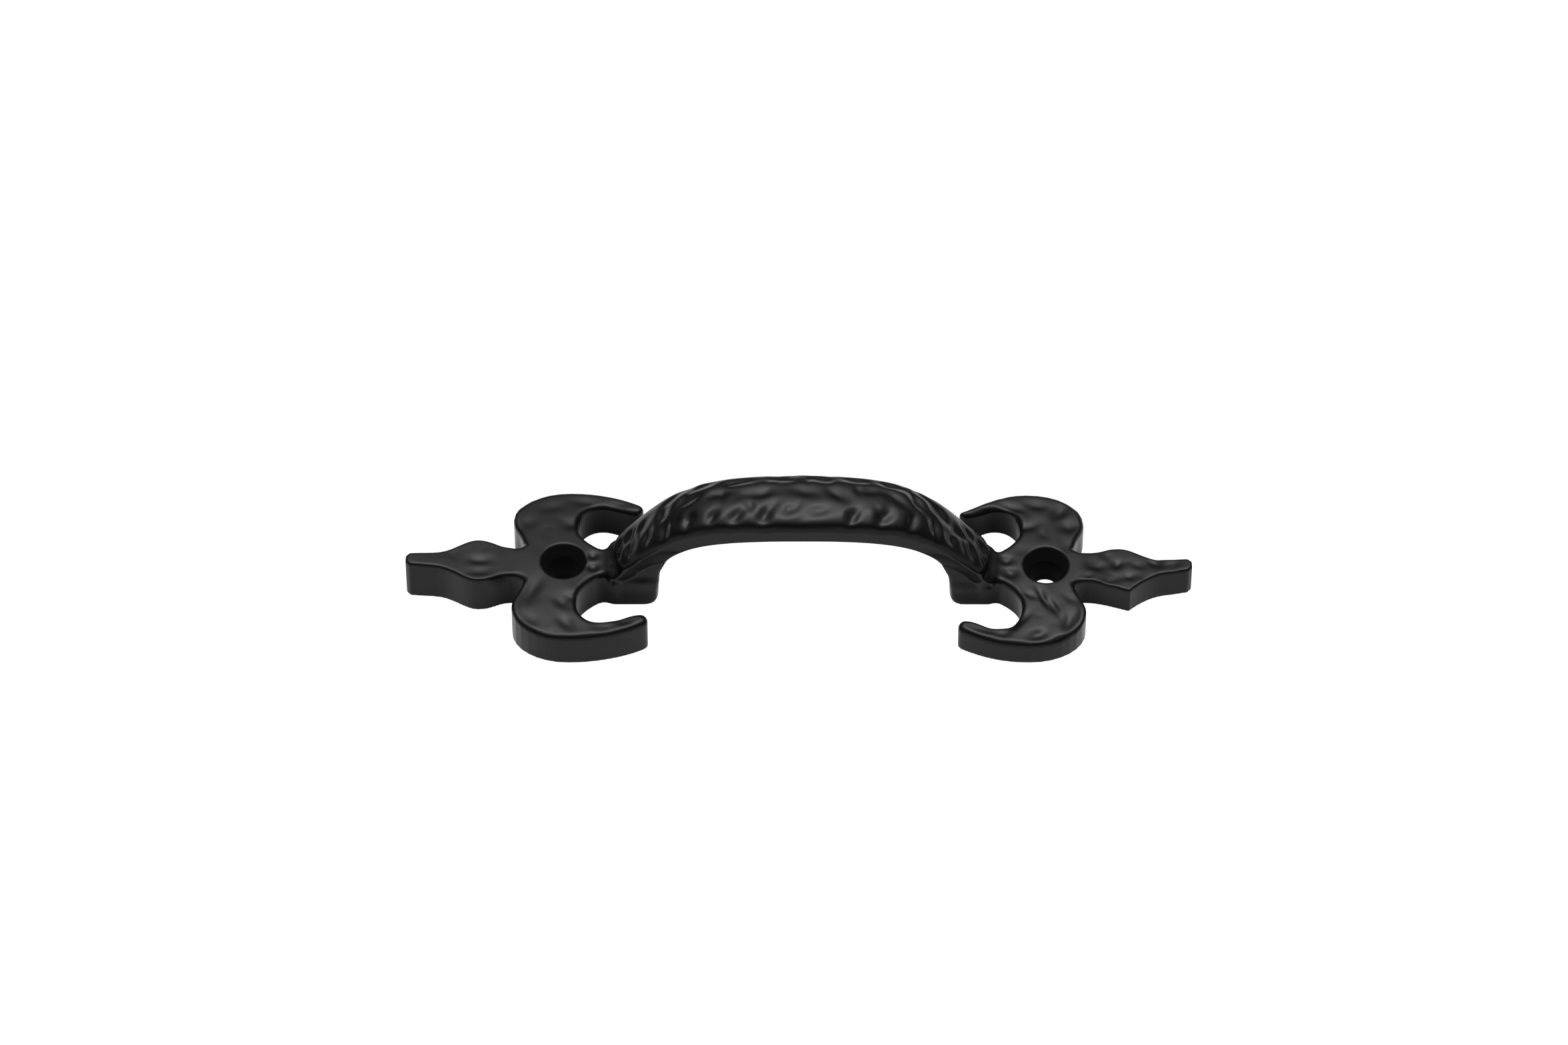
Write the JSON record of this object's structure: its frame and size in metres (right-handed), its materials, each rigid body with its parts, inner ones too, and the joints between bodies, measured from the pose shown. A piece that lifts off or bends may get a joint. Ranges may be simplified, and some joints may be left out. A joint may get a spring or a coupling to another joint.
{
  "type": "bow pull handle",
  "caption": "Cast-iron pull handle with a raised arched bow between two fleur-de-lis end plates, each with a countersunk screw hole.",
  "frame": {"origin": "middle of the handle's outline on the flat back that lies on the door or shutter", "axes": "+X along the handle towards the right end, +Y across it towards the far side, +Z off the back towards the bow"},
  "size_m": [0.15, 0.0366, 0.028],
  "materials": {
    "casting": "black satin powder coat over hammered casting"
  },
  "bodies": {
    "root": {"bow": "casting", "left_root": "casting", "right_root": "casting", "left_palm": "casting", "right_palm": "casting", "left_spear": "casting", "right_spear": "casting", "left_near_petal": "casting", "left_far_petal": "casting", "right_near_petal": "casting", "right_far_petal": "casting"}
  },
  "joints": []
}
